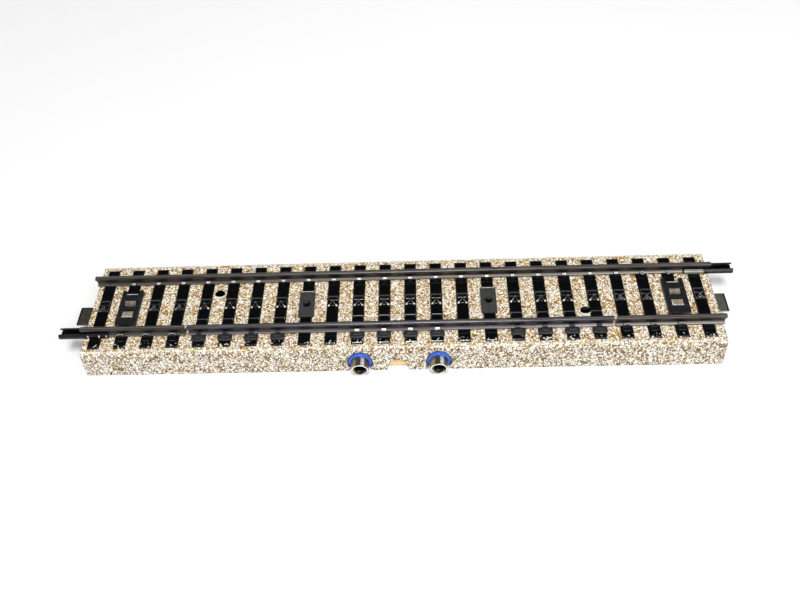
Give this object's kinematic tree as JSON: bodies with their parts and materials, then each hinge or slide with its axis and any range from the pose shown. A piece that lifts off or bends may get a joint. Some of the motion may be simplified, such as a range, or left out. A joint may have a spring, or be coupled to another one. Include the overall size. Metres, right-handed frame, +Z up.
{
  "type": "straight model railway contact track",
  "caption": "Straight three-rail model railway section with a pressed roadbed, an insulated trip rail, sprung end contacts and two front wire sockets.",
  "frame": {"origin": "middle of the overall length and width, on the plane the roadbed stands on", "axes": "+X along the track towards the rear-joiner end, +Y towards the uncut rail, +Z up"},
  "size_m": [0.1934, 0.0378, 0.0109],
  "materials": {
    "printed_sheet": "satin lacquer",
    "rail_steel": "dark, worn bright on the edges",
    "grey_plastic": "matt",
    "black_plastic": "semi-gloss",
    "blue_plastic": "semi-gloss",
    "tinned_metal": "dull tin plating",
    "bronze": "satin",
    "nickel": "nickel plating",
    "fibre_board": "uncoated pressed board"
  },
  "bodies": {
    "track": {"roadbed": "printed_sheet", "rear_rail": "rail_steel", "front_rail_left": "rail_steel", "front_rail_insulated": "rail_steel", "front_rail_right": "rail_steel", "joiner_front_left": "rail_steel", "joiner_rear_right": "rail_steel", "rail_pad_05": "grey_plastic", "rail_pad_06": "grey_plastic", "rail_pad_07": "grey_plastic", "rail_pad_08": "grey_plastic", "rail_pad_11": "grey_plastic", "rail_pad_12": "grey_plastic", "rail_pad_13": "grey_plastic", "rail_pad_14": "grey_plastic", "rail_pad_17": "grey_plastic", "rail_pad_18": "grey_plastic", "rail_pad_19": "grey_plastic", "rail_pad_20": "grey_plastic", "end_plate_left": "black_plastic", "end_plate_right": "black_plastic", "mid_plate_left": "grey_plastic", "mid_plate_right": "grey_plastic", "strip_insulator": "grey_plastic", "stud_strip": "tinned_metal", "tongue_rivet_left": "bronze", "tongue_rivet_right": "bronze", "socket_left": "nickel", "socket_right": "nickel", "socket_ring_left": "blue_plastic", "socket_ring_right": "blue_plastic", "feed_strap_left": "bronze", "feed_strap_right": "bronze", "wiring_cover": "fibre_board"},
    "tongue_left": {"contact_tongue_left": "tinned_metal"},
    "tongue_right": {"contact_tongue_right": "tinned_metal"}
  },
  "joints": [
    {"name": "tongue_left_flex", "type": "hinge", "parent": "track", "child": "tongue_left", "pos_m": [-0.0815, 0.00005, 0.0049], "axis": [0, 1, 0], "range_deg": [-3, 3], "stiffness_Nm_per_rad": 0.1},
    {"name": "tongue_right_flex", "type": "hinge", "parent": "track", "child": "tongue_right", "pos_m": [0.0815, 0.00005, 0.0049], "axis": [0, 1, 0], "range_deg": [-3, 3], "stiffness_Nm_per_rad": 0.1}
  ]
}
